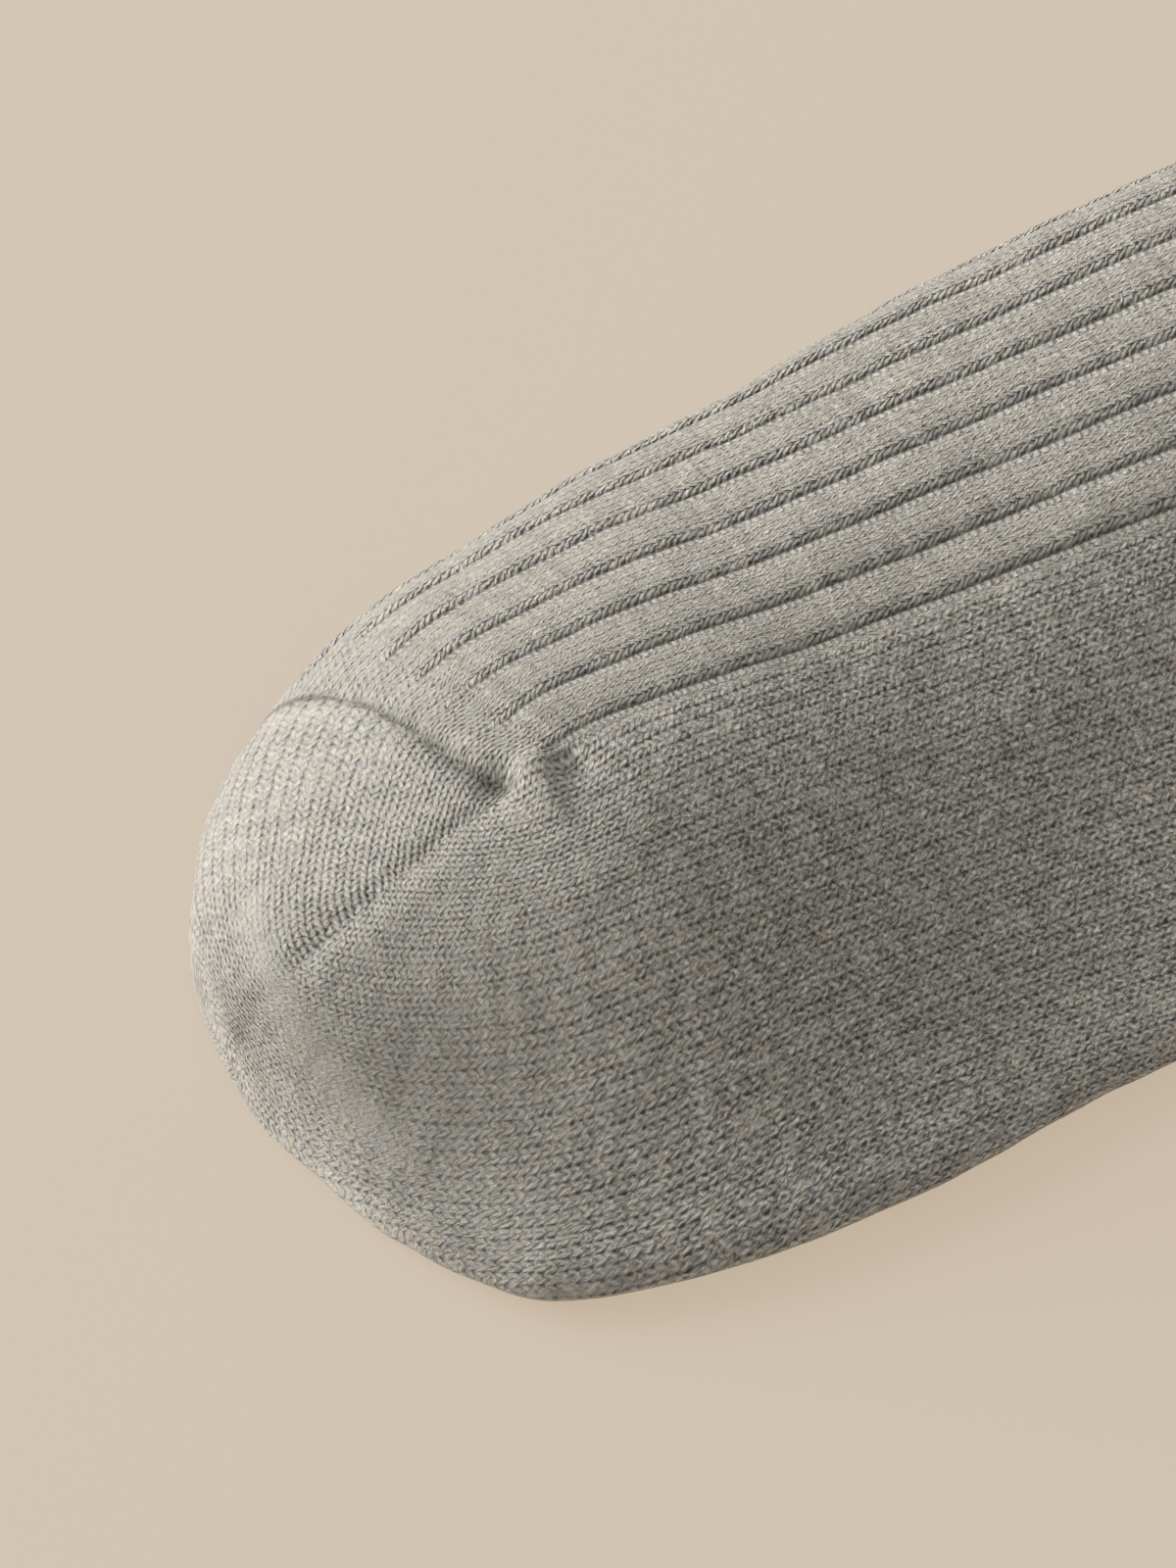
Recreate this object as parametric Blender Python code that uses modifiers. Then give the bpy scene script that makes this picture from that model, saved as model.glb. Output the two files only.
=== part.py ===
"""One knitted crew sock lying flat on its side, softly filled out.

The tube is lofted through sections that run from the toe, along the foot,
round the heel and up the leg to the open cuff.  Each section stands upright on
a line across the flat shape, from the fold along the sole to the fold along the
instep.  The underside is flat where the sock rests, and the upper side is a
soft dome whose highest line is the side of the foot, where the plain sole
meets the ribbed instep.

X runs from the toe to the heel, Y from the sole to the instep, Z is up.
"""

import math

import bpy

MM = 0.001

# ---- driving sizes, in millimetres ----
WALL = 1.8            # knitted cloth of the toe, foot, heel and leg
CUFF_WALL = 2.4       # double turned welt
GAP = 0.3             # kept between neighbouring knitted zones
TOP_POINTS = 20       # points across the upper side of a section
UNDER_POINTS = 12     # points across its underside
CROWN_POWER = 2.2     # how square the instep side of a section is
FLANK_POWER = 2.0     # how hollow the sole side of a section is where it is round
RIDGE_POWER = 1.6     # and where it falls straight away from a ridge

COLUMNS = ("sole_x", "sole_y", "instep_x", "instep_y", "bow", "crest", "ridge", "height", "edge", "belly", "lift")
# sole_*, instep_*  ends of the section's line, at the two folds
# bow               how far the line bends towards the heel half way
# crest             where the highest point is, 0 at the sole fold, 1 at the instep fold
# ridge             0 where that point is softly rounded, 1 where the sole falls straight away from it
# height            of that point
# edge              thickness of the folded edge at the sole
# belly             thickness of the folded edge at the instep
# lift              how far the underside is rounded off the surface it lies on
SECTIONS = {
    "tip":          (0.0, -10.5, 0.3, -9.5, 0.0, 0.50, 0.0, 6.4, 0.6, 0.6, 4.6),
    "nose":         (0.2, -17.0, 1.2, -2.6, -0.6, 0.52, 0.0, 10.2, 3.0, 3.4, 1.2),
    "toe_end":      (2.0, -23.4, 3.9, 3.0, -1.6, 0.52, 0.0, 13.2, 4.2, 5.2, 0.0),
    "toe_round":    (6.2, -34.2, 7.4, 8.4, 1.5, 0.52, 0.0, 17.4, 4.8, 6.4, 0.0),
    "toe_seam":     (14.6, -44.6, 14.2, 14.4, 13.5, 0.52, 0.0, 24.0, 5.0, 7.0, 0.0),
    "rib_start":    (30.0, -48.7, 26.0, 20.3, 10.0, 0.49, 0.1, 26.2, 5.0, 7.4, 0.0),
    "ball":         (46.0, -50.0, 44.0, 24.6, 5.0, 0.46, 0.3, 24.4, 5.0, 7.6, 0.0),
    "forefoot":     (66.0, -48.8, 65.0, 27.4, 0.5, 0.45, 0.6, 20.8, 5.0, 7.6, 0.0),
    "midfoot":      (92.0, -48.6, 92.0, 30.9, 0.0, 0.485, 0.9, 18.0, 5.0, 7.6, 0.0),
    "waist":        (120.0, -48.6, 120.0, 32.6, 0.0, 0.50, 1.0, 16.6, 5.0, 7.6, 0.0),
    "arch":         (152.0, -48.8, 150.0, 33.6, 0.0, 0.50, 0.8, 16.0, 5.0, 7.6, 0.0),
    "heel_start":   (182.0, -49.0, 169.0, 36.0, 0.0, 0.50, 0.4, 16.8, 5.2, 7.4, 0.0),
    "heel_under":   (208.0, -47.5, 178.0, 39.4, 0.0, 0.47, 0.1, 18.6, 5.6, 7.0, 0.0),
    "heel_turn":    (230.0, -38.0, 183.6, 43.4, 0.0, 0.45, 0.0, 19.6, 6.0, 6.8, 0.0),
    "heel_back":    (242.0, -20.0, 187.4, 48.4, 0.0, 0.45, 0.0, 18.8, 5.8, 6.8, 0.0),
    "ankle":        (248.0, 2.0, 191.4, 55.0, 0.0, 0.47, 0.1, 17.0, 5.4, 6.6, 0.0),
    "leg_start":    (257.0, 24.0, 197.0, 65.0, 0.0, 0.50, 0.2, 15.4, 5.2, 6.4, 0.0),
    "leg_low":      (271.5, 53.0, 208.0, 87.5, 0.0, 0.50, 0.2, 14.4, 5.0, 6.0, 0.0),
    "leg_mid":      (287.5, 84.0, 222.0, 118.5, 0.0, 0.50, 0.2, 13.8, 5.0, 5.8, 0.0),
    "leg_high":     (301.5, 111.0, 235.5, 146.0, 0.0, 0.50, 0.2, 13.4, 5.0, 5.6, 0.0),
    "welt_start":   (311.0, 129.0, 244.6, 164.2, 0.0, 0.50, 0.2, 13.2, 5.0, 5.6, 0.0),
    "welt_top":     (322.0, 150.4, 256.2, 185.2, 0.0, 0.50, 0.2, 13.2, 5.2, 5.6, 0.0),
}
NAMES = list(SECTIONS)

# Zones of the knitted tube: first section, last section, rings between, wall
ZONES = {
    "toe_pocket":  ("tip", "toe_seam", 15, WALL),
    "foot":        ("toe_seam", "heel_start", 22, WALL),
    "heel_pocket": ("heel_start", "ankle", 13, WALL),
    "leg":         ("ankle", "welt_start", 9, WALL),
    "cuff_welt":   ("welt_start", "welt_top", 4, CUFF_WALL),
}

HEATHER = (0.268, 0.252, 0.224, 1.0)


def spline(before, start, end, after, f):
    """Catmull-Rom value a fraction f of the way from start to end."""
    return 0.5 * (
        2 * start
        + (end - before) * f
        + (2 * before - 5 * start + 4 * end - after) * f * f
        + (3 * start - before - 3 * end + after) * f * f * f
    )


def section(place):
    """The named sizes of the section at a place counted in table rows."""
    place = min(max(place, 0.0), len(NAMES) - 1.0)
    row = min(int(place), len(NAMES) - 2)
    picked = [SECTIONS[NAMES[min(max(row + step, 0), len(NAMES) - 1)]] for step in (-1, 0, 1, 2)]
    values = [spline(*column, place - row) for column in zip(*picked)]
    size = dict(zip(COLUMNS, values))
    size["lift"] = max(size["lift"], 0.0)
    size["ridge"] = min(max(size["ridge"], 0.0), 1.0)
    return size


def rounded(x):
    """Quarter circle from 0 at x = 0 to 1 at x = 1."""
    x = min(max(x, 0.0), 1.0)
    return math.sqrt(1.0 - (1.0 - x) ** 2)


def dome(t, crest, ridge):
    """Height share across a section: hollow on the sole side, full on the instep side."""
    if t < crest:
        x = max(t / crest, 0.0)
        return (1 - ridge) * math.sin(0.5 * math.pi * x) ** FLANK_POWER + ridge * x ** RIDGE_POWER
    return max(0.0, 1.0 - ((t - crest) / (1.0 - crest)) ** CROWN_POWER) ** 0.75


def section_point(size, t, upper):
    """A point of a section, t of the way from the sole fold to the instep fold."""
    width = math.hypot(size["instep_x"] - size["sole_x"], size["instep_y"] - size["sole_y"])
    at_sole = rounded(t * width / (0.5 * size["edge"] + 0.8))
    at_instep = rounded((1 - t) * width / (0.5 * size["belly"] + 0.8))
    blend = t * t * (3 - 2 * t)
    edge = size["edge"] * (1 - blend) + size["belly"] * blend
    side = min(at_sole, at_instep)
    if upper:
        z = 0.5 * edge * (1 + side) + max(0.0, size["height"] - size["lift"] - edge) * dome(t, size["crest"], size["ridge"])
    else:
        z = 0.5 * edge * (1 - side)
    x = size["sole_x"] * (1 - t) + size["instep_x"] * t + size["bow"] * 4 * t * (1 - t)
    y = size["sole_y"] * (1 - t) + size["instep_y"] * t
    return (x * MM, y * MM, (z + size["lift"]) * MM)


def across(number, count):
    """Share of the width at point number of count, closer together near the folds."""
    u = number / count
    return 0.62 * 0.5 * (1 - math.cos(math.pi * u)) + 0.38 * u


def ring(place):
    """One closed section, from the sole fold over the upper side and back underneath."""
    size = section(place)
    upper = [section_point(size, across(i, TOP_POINTS), True) for i in range(TOP_POINTS)]
    under = [section_point(size, across(i, UNDER_POINTS), False) for i in range(UNDER_POINTS, 0, -1)]
    return upper + under


def zone_places(first, last, rings):
    """Even places from one section to another, drawn in by half the gap at each joined end."""
    low, high = float(NAMES.index(first)), float(NAMES.index(last))

    def step_for(place, way):
        here, there = section(place), section(place + 0.05 * way)
        run = math.hypot(
            0.5 * (there["sole_x"] + there["instep_x"] - here["sole_x"] - here["instep_x"]),
            0.5 * (there["sole_y"] + there["instep_y"] - here["sole_y"] - here["instep_y"]),
        )
        return 0.05 * way * (0.5 * GAP + 0.05) / run

    start = low + (step_for(low, 1) if low > 0 else 0.0)
    end = high + (step_for(high, -1) if high < len(NAMES) - 1 else 0.0)
    return [start + (end - start) * i / (rings - 1) for i in range(rings)]


def knitted_tube(name, first, last, rings, wall, collection, material):
    """A zone of the sock as a tube of even wall, closed only at the toe."""
    places = zone_places(first, last, rings)
    loops = [ring(place) for place in places]
    points, faces = [], []
    count = TOP_POINTS + UNDER_POINTS
    for loop in loops:
        points += loop
    for r in range(len(loops) - 1):
        for i in range(count):
            j = (i + 1) % count
            faces.append((r * count + i, (r + 1) * count + i, (r + 1) * count + j, r * count + j))
    if first == NAMES[0]:
        faces.append(tuple(range(count)))
    mesh = bpy.data.meshes.new(name)
    mesh.from_pydata(points, [], faces)
    mesh.materials.append(material)
    mesh.shade_smooth()
    body = bpy.data.objects.new(name, mesh)
    collection.objects.link(body)
    shell = body.modifiers.new("wall", "SOLIDIFY")
    shell.thickness = wall * MM
    shell.offset = -1.0
    shell.use_even_offset = False
    shell.use_rim = True
    return body


def main():
    for old in list(bpy.data.objects):
        bpy.data.objects.remove(old, do_unlink=True)

    cloth = bpy.data.materials.new("heather_knit")
    cloth.use_nodes = True
    shader = cloth.node_tree.nodes["Principled BSDF"]
    shader.inputs["Base Color"].default_value = HEATHER
    shader.inputs["Roughness"].default_value = 0.92
    shader.inputs["Metallic"].default_value = 0.0

    collection = bpy.data.collections.new("crew_sock")
    bpy.context.scene.collection.children.link(collection)

    bodies = []
    for name, (first, last, rings, wall) in ZONES.items():
        bodies.append(knitted_tube(name, first, last, rings, wall, collection, cloth))

    # The frame's origin is on the surface the sock lies on, under the middle of its box.
    spots = [v.co for body in bodies for v in body.data.vertices]
    middle_x = 0.5 * (min(p.x for p in spots) + max(p.x for p in spots))
    middle_y = 0.5 * (min(p.y for p in spots) + max(p.y for p in spots))
    for body in bodies:
        for v in body.data.vertices:
            v.co.x -= middle_x
            v.co.y -= middle_y


main()
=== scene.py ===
"""One heather crew sock lying on its side: fine knitted shell, light, floor and camera."""

import math

import bpy
import numpy as np
from mathutils import Matrix, Vector, noise


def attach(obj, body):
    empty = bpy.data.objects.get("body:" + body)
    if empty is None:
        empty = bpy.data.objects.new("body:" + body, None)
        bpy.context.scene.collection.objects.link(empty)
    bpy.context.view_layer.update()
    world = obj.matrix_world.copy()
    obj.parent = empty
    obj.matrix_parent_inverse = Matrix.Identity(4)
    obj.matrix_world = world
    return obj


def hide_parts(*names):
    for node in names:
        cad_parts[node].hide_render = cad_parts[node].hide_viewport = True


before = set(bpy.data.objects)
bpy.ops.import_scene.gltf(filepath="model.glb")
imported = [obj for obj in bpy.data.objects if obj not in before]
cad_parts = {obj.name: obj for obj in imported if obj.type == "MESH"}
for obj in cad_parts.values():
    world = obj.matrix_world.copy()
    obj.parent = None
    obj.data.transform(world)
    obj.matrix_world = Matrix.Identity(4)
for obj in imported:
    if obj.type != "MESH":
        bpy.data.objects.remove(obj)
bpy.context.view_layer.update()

MM = 0.001
CENTRE = (161.0, 67.6)      # middle of the sock's box in its own millimetres

# ---------------------------------------------------------------- form
COLUMNS = ("sole_x", "sole_y", "instep_x", "instep_y", "bow", "crest", "ridge", "height", "edge", "belly", "lift")
SECTIONS = {
    "tip":          (0.0, -10.5, 0.3, -9.5, 0.0, 0.50, 0.0, 6.4, 0.6, 0.6, 4.6),
    "nose":         (0.2, -17.0, 1.2, -2.6, -0.6, 0.52, 0.0, 10.2, 3.0, 3.4, 1.2),
    "toe_end":      (2.0, -23.4, 3.9, 3.0, -1.6, 0.52, 0.0, 13.2, 4.2, 5.2, 0.0),
    "toe_round":    (6.2, -34.2, 7.4, 8.4, 1.5, 0.52, 0.0, 17.4, 4.8, 6.4, 0.0),
    "toe_seam":     (14.6, -44.6, 14.2, 14.4, 13.5, 0.52, 0.0, 24.0, 5.0, 7.0, 0.0),
    "rib_start":    (30.0, -48.7, 26.0, 20.3, 10.0, 0.49, 0.1, 26.2, 5.0, 7.4, 0.0),
    "ball":         (46.0, -50.0, 44.0, 24.6, 5.0, 0.46, 0.3, 24.4, 5.0, 7.6, 0.0),
    "forefoot":     (66.0, -48.8, 65.0, 27.4, 0.5, 0.45, 0.6, 20.8, 5.0, 7.6, 0.0),
    "midfoot":      (92.0, -48.6, 92.0, 30.9, 0.0, 0.485, 0.9, 18.0, 5.0, 7.6, 0.0),
    "waist":        (120.0, -48.6, 120.0, 32.6, 0.0, 0.50, 1.0, 16.6, 5.0, 7.6, 0.0),
    "arch":         (152.0, -48.8, 150.0, 33.6, 0.0, 0.50, 0.8, 16.0, 5.0, 7.6, 0.0),
    "heel_start":   (182.0, -49.0, 169.0, 36.0, 0.0, 0.50, 0.4, 16.8, 5.2, 7.4, 0.0),
    "heel_under":   (208.0, -47.5, 178.0, 39.4, 0.0, 0.47, 0.1, 18.6, 5.6, 7.0, 0.0),
    "heel_turn":    (230.0, -38.0, 183.6, 43.4, 0.0, 0.45, 0.0, 19.6, 6.0, 6.8, 0.0),
    "heel_back":    (242.0, -20.0, 187.4, 48.4, 0.0, 0.45, 0.0, 18.8, 5.8, 6.8, 0.0),
    "ankle":        (248.0, 2.0, 191.4, 55.0, 0.0, 0.47, 0.1, 17.0, 5.4, 6.6, 0.0),
    "leg_start":    (257.0, 24.0, 197.0, 65.0, 0.0, 0.50, 0.2, 15.4, 5.2, 6.4, 0.0),
    "leg_low":      (271.5, 53.0, 208.0, 87.5, 0.0, 0.50, 0.2, 14.4, 5.0, 6.0, 0.0),
    "leg_mid":      (287.5, 84.0, 222.0, 118.5, 0.0, 0.50, 0.2, 13.8, 5.0, 5.8, 0.0),
    "leg_high":     (301.5, 111.0, 235.5, 146.0, 0.0, 0.50, 0.2, 13.4, 5.0, 5.6, 0.0),
    "welt_start":   (311.0, 129.0, 244.6, 164.2, 0.0, 0.50, 0.2, 13.2, 5.0, 5.6, 0.0),
    "welt_top":     (322.0, 150.4, 256.2, 185.2, 0.0, 0.50, 0.2, 13.2, 5.2, 5.6, 0.0),
}
NAMES = list(SECTIONS)
CROWN_POWER, FLANK_POWER, RIDGE_POWER = 2.2, 2.0, 1.6
CREST_STEPS, CREST_WIDTH = (-0.10, -0.06, -0.03, 0.0, 0.03, 0.06, 0.10), 0.15

# How far across each section, from sole fold to instep fold, the side line runs
SIDE_LINE = {"tip": 0.50, "toe_round": 0.55, "toe_seam": 0.59, "rib_start": 0.58, "ball": 0.555, "forefoot": 0.535,
             "midfoot": 0.515, "waist": 0.50, "heel_start": 0.50, "welt_top": 0.50}

# Rows of the fine mesh: to which section, and the step along the side line in millimetres
ROW_STEPS = (("toe_seam", 0.95), ("midfoot", 1.0), ("waist", 1.5), ("heel_start", 2.3), ("ankle", 2.2),
             ("welt_start", 2.7), ("welt_top", 1.3))

# ---------------------------------------------------------------- knit
SIDE_WALES = 40             # from a fold to the side line, on the plain and on the ribbed half
RIB_WALES = 5               # four knitted wales and one purled wale
PLAIN_COLUMNS = (0.0, 0.3, 0.7, 1.0, 1.8, 3.0, 4.1)
# Across a rib, in wales: height of the cloth in millimetres, and the wale that the stitches there belong to
RIB_PROFILE = (
    # wale, height, stitch
    (0.00, -0.06, 0.00),
    (0.35, -0.13, 0.35),
    (0.70, -0.22, 0.72),
    (0.90, -0.34, 1.00),
    (1.05, -0.24, 1.08),
    (1.30, -0.06, 1.25),
    (1.62, 0.05, 1.50),
    (2.15, 0.11, 2.00),
    (2.80, 0.12, 2.65),
    (3.50, 0.08, 3.40),
    (4.20, 0.03, 4.15),
    (4.70, -0.02, 4.68),
)
WALE, COURSE = 1.13, 0.84   # pitch of the plain knit in millimetres
GORE_WALE, GORE_COURSE = 1.24, 0.66     # beside the toe's gore, where it is pulled tight
SIDE_WALE = 1.35            # and on top of the foot beside the side line, where it is spread
SOLE_SPREAD, RIB_SPREAD = 0.09, 0.7     # how unevenly the wales lie across the sole side and the ribbed side
END_STRETCH = 0.5           # how much wider the wales lie on the toe's end, where they are stretched over it
TUBE_FROM = (44.0, 56.0)    # over which the toe's stitches pass into those of the foot
SOLE_COUNT = 44             # wales from the side line to the sole fold at the ball of the foot
DRIFT, DRIFT_FROM, DRIFT_TO = 0.09, 42.0, 104.0     # wales per millimetre that turn in over the sole fold, and where
WALL, WELT_WALL = 1.8, 2.4

# The toe pocket's gore line, from where it ends on the nose to the side line, as x and y
GORE_END, GORE_TOP = np.array([5.9, -13.5]), np.array([28.8, -9.7])
GORE_END_WALE = 24          # wales left between the gore's end and the middle of the sole
# The toe seam, as y and x from the side line to the instep fold
SEAM = ((-9.7, 28.6), (-5.3, 26.4), (-1.0, 25.0), (3.0, 23.7), (7.5, 22.2), (11.0, 20.4), (14.0, 17.6), (16.0, 14.2))
# Which way the wales of the toe run, in degrees from the line of the foot, seen from above
WAY_FOOT, WAY_NOSE, WAY_TOP = 5.0, -80.0, -142.0      # along the sole, across the nose, behind it on the top side
TURN_SOLE, TURN_TOP = 17.0, 6.0     # distance from the nose in which most of that turn is made
GORE_LEAN = 22.0            # how much further they lean beside the gore
# Where the toe's upper face turns over to its end, as x and y: a fuzzy nap band with a painted sheen, lighter and with
# fainter stitches
NAP_AND_SHEEN = ((8.6, 1.5), (7.0, -3.0), (5.2, -8.0), (4.6, -13.0), (4.9, -17.5), (5.9, -22.0), (7.4, -26.0), (9.0, -29.5), (11.0, -33.0))


def spline(before, start, end, after, f):
    return 0.5 * (2 * start + (end - before) * f + (2 * before - 5 * start + 4 * end - after) * f * f
                  + (3 * start - before - 3 * end + after) * f * f * f)


def section(place):
    place = min(max(place, 0.0), len(NAMES) - 1.0)
    row = min(int(place), len(NAMES) - 2)
    picked = [SECTIONS[NAMES[min(max(row + step, 0), len(NAMES) - 1)]] for step in (-1, 0, 1, 2)]
    size = dict(zip(COLUMNS, (spline(*column, place - row) for column in zip(*picked))))
    size["lift"] = max(size["lift"], 0.0)
    size["ridge"] = min(max(size["ridge"], 0.0), 1.0)
    return size


def rounded(x):
    return np.sqrt(1.0 - (1.0 - np.clip(x, 0.0, 1.0)) ** 2)


def dome(t, crest, ridge):
    x = np.clip(t / crest, 0.0, 1.0)
    flank = (1 - ridge) * np.sin(0.5 * math.pi * x) ** FLANK_POWER + ridge * x ** RIDGE_POWER
    crown = np.maximum(0.0, 1.0 - np.clip((t - crest) / (1.0 - crest), 0.0, 1.0) ** CROWN_POWER) ** 0.75
    return np.where(t < crest, flank, crown)


def cloth_dome(t, crest, ridge):
    """The dome with its highest line rounded off, as thick cloth turns over it."""
    even = np.mean([dome(t + step, crest, ridge) for step in CREST_STEPS], axis=0)
    near = np.exp(-(((t - crest) / CREST_WIDTH) ** 2))
    return dome(t, crest, ridge) * (1 - near) + even * near


def section_line(size, t, upper):
    """Points of a section in millimetres, t of the way from the sole fold to the instep fold."""
    width = math.hypot(size["instep_x"] - size["sole_x"], size["instep_y"] - size["sole_y"])
    side = np.minimum(rounded(t * width / (0.5 * size["edge"] + 0.8)), rounded((1 - t) * width / (0.5 * size["belly"] + 0.8)))
    blend = t * t * (3 - 2 * t)
    edge = size["edge"] * (1 - blend) + size["belly"] * blend
    if upper:
        z = 0.5 * edge * (1 + side) + np.maximum(0.0, size["height"] - size["lift"] - edge) * cloth_dome(t, size["crest"], size["ridge"])
    else:
        z = 0.5 * edge * (1 - side)
    x = size["sole_x"] * (1 - t) + size["instep_x"] * t + size["bow"] * 4 * t * (1 - t)
    y = size["sole_y"] * (1 - t) + size["instep_y"] * t
    return np.stack([x, y, z + size["lift"]], axis=-1)


def smooth(x, low=0.0, high=1.0):
    f = np.clip((x - low) / (high - low), 0.0, 1.0)
    return f * f * (3 - 2 * f)


def bump(x, middle, width):
    return np.exp(-(((x - middle) / width) ** 2))


def side_share(place):
    names = list(SIDE_LINE)
    return float(np.interp(place, [NAMES.index(n) for n in names], [SIDE_LINE[n] for n in names]))


U = np.linspace(0.0, 1.0, 241)
DENSE = 0.31 * (1 - np.cos(math.pi * U)) + 0.38 * U      # closer together near the folds


def side_points(size, place, wales, upper):
    """Points of one side of a section at the given wale numbers, 0 at the sole fold and 80 at the instep fold."""
    line = section_line(size, DENSE, upper)
    run = np.concatenate([[0.0], np.cumsum(np.linalg.norm(np.diff(line, axis=0), axis=1))])
    share = side_share(place)
    at_side = float(np.interp(share, DENSE, run))
    plain, ribbed = np.clip(wales / SIDE_WALES, 0, 1), np.clip(wales / SIDE_WALES - 1, 0, 1)
    plain = plain - SOLE_SPREAD * plain * (1 - plain)
    fade = float(np.interp(place, [NAMES.index("ball"), NAMES.index("midfoot")], [1.0, 0.0]))
    ribbed = ribbed + RIB_SPREAD * fade * ribbed ** 4 * (1 - ribbed)
    arc = np.where(wales < SIDE_WALES, plain * at_side, at_side + ribbed * (run[-1] - at_side))
    t = np.interp(arc, run, DENSE)
    return section_line(size, t, upper)


def column_wales():
    """Wale number of each column: 0 at the sole fold, 80 at the instep fold, and on round to 160."""
    found = []
    for block in range(32):
        ribbed = 8 <= block < 24
        found += [RIB_WALES * block + v for v in ([row[0] for row in RIB_PROFILE] if ribbed else PLAIN_COLUMNS)]
    return np.array(found)


def ring(place, wales):
    size = section(place)
    upper = wales <= 80
    points = np.empty((len(wales), 3))
    points[upper] = side_points(size, place, wales[upper], True)
    points[~upper] = side_points(size, place, 160 - wales[~upper], False)
    return points


def row_places():
    """Places of the rows, at the steps in ROW_STEPS measured on the side line."""
    fine = np.linspace(0, len(NAMES) - 1, 1681)
    spots = np.array([section_line(section(p), np.array([side_share(p)]), True)[0] for p in fine])
    run = np.concatenate([[0.0], np.cumsum(np.linalg.norm(np.diff(spots, axis=0), axis=1))])
    places, low = [0.0], 0.0
    for name, step in ROW_STEPS:
        high = float(NAMES.index(name))
        a, b = np.interp([low, high], fine, run)
        count = max(2, int(math.ceil((b - a) / step)))
        places += list(np.interp(a + (b - a) * np.arange(1, count + 1) / count, run, fine))
        low = high
    return np.array(places)


COLS = column_wales()
PLACES = row_places()
GRID = np.array([ring(p, COLS) for p in PLACES])
ROWS, COUNT = GRID.shape[:2]
UPPER = COLS <= 80


def grid_normals(grid):
    along = np.empty_like(grid)
    along[1:-1] = grid[2:] - grid[:-2]
    along[0], along[-1] = grid[1] - grid[0], grid[-1] - grid[-2]
    across = np.roll(grid, -1, axis=1) - np.roll(grid, 1, axis=1)
    n = np.cross(across, along)
    n /= np.maximum(np.linalg.norm(n, axis=2, keepdims=True), 1e-9)
    return -n if n[ROWS // 2, COUNT // 4, 2] < 0 else n


NORMAL = grid_normals(GRID)

# ---------------------------------------------------------------- seam, side line and gore as fields
X, Y, Z = GRID[..., 0], GRID[..., 1], GRID[..., 2]
SEAM_Y, SEAM_X = np.array([s[0] for s in SEAM]), np.array([s[1] for s in SEAM])


def seam_distance(x, y):
    """Millimetres past the toe seam, towards the heel."""
    at = np.interp(y, SEAM_Y, SEAM_X)
    slope = (np.interp(y + 1.0, SEAM_Y, SEAM_X) - np.interp(y - 1.0, SEAM_Y, SEAM_X)) / 2.0
    return (x - at) / np.sqrt(1 + slope * slope)


def course_run(wale):
    """Courses counted along the rows at one wale, growing towards the toe."""
    column = int(np.argmin(np.abs(COLS - wale)))
    run = np.concatenate([[0.0], np.cumsum(np.linalg.norm(np.diff(GRID[:, column], axis=0), axis=1))])
    return -run / COURSE


# The upper side's points, which the underside's columns mirror
MIRROR = np.where(COLS > 80, 160 - COLS, COLS)
OVER = np.array([side_points(section(p), p, MIRROR, True) for p in PLACES])
OVER_NORMAL = grid_normals(OVER)
OVER_NORMAL *= np.sign(OVER_NORMAL[..., 2:3] + 1e-9)
PLANFORM = OVER[..., :2]
SEAM_GAP = seam_distance(PLANFORM[..., 0], PLANFORM[..., 1])
PAST_SEAM = np.where((COLS >= SIDE_WALES) & (COLS <= 120), SEAM_GAP, -99.0)
HEEL_START, ANKLE, WELT = (float(NAMES.index(n)) for n in ("heel_start", "ankle", "welt_start"))

GORE = GORE_TOP - GORE_END
GORE_WAY = GORE / np.linalg.norm(GORE)


def gore_place(p):
    """Distance along the gore line from its end on the nose, and off it towards the top of the toes."""
    q = p - GORE_END
    return q @ GORE_WAY, GORE_WAY[0] * q[..., 1] - GORE_WAY[1] * q[..., 0]


def from_gore(p):
    along, off = gore_place(p)
    return np.hypot(off, np.maximum(0.0, np.maximum(-along, along - np.linalg.norm(GORE))))


# ---------------------------------------------------------------- stitch numbers over the toe
DEGREE = 6


def terms(p):
    """Terms of a polynomial in x, y and z, which gives wale or course numbers over the toe."""
    u = (p - np.array([22.0, -20.0, 14.0])) / np.array([26.0, 26.0, 12.0])
    return np.stack([u[..., 0] ** i * u[..., 1] ** j * u[..., 2] ** k
                     for i in range(DEGREE + 1) for j in range(DEGREE + 1 - i) for k in range(DEGREE + 1 - i - j)], axis=-1)


def rises(p, way):
    return (terms(p + 0.05 * way) - terms(p - 0.05 * way)) / 0.1


def wale_way(p, top):
    """Direction of the wales at points seen from above: across the nose, and turning away from it on both sides."""
    x = np.maximum(p[:, 0], 0.0)
    if top:
        return np.radians(WAY_TOP + (WAY_NOSE - WAY_TOP) * np.exp(-x / TURN_TOP))
    lean = GORE_LEAN * (1 - smooth(from_gore(p), 1.0, 9.0)) * smooth(x, 8.0, 24.0)
    return np.radians(WAY_FOOT + (WAY_NOSE - WAY_FOOT) * np.exp(-x / TURN_SOLE) - lean)


def sole_wale_at(columns, x):
    """Wale number on the sole side of the foot, at a column of the mesh and a distance from the toe."""
    from_side = (SIDE_WALES - columns) / SIDE_WALES
    turned = DRIFT * np.clip(x - DRIFT_FROM, 0.0, DRIFT_TO - DRIFT_FROM)
    return SIDE_WALES - SOLE_COUNT * from_side + turned * smooth(from_side, 0.0, 1.0)


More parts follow.
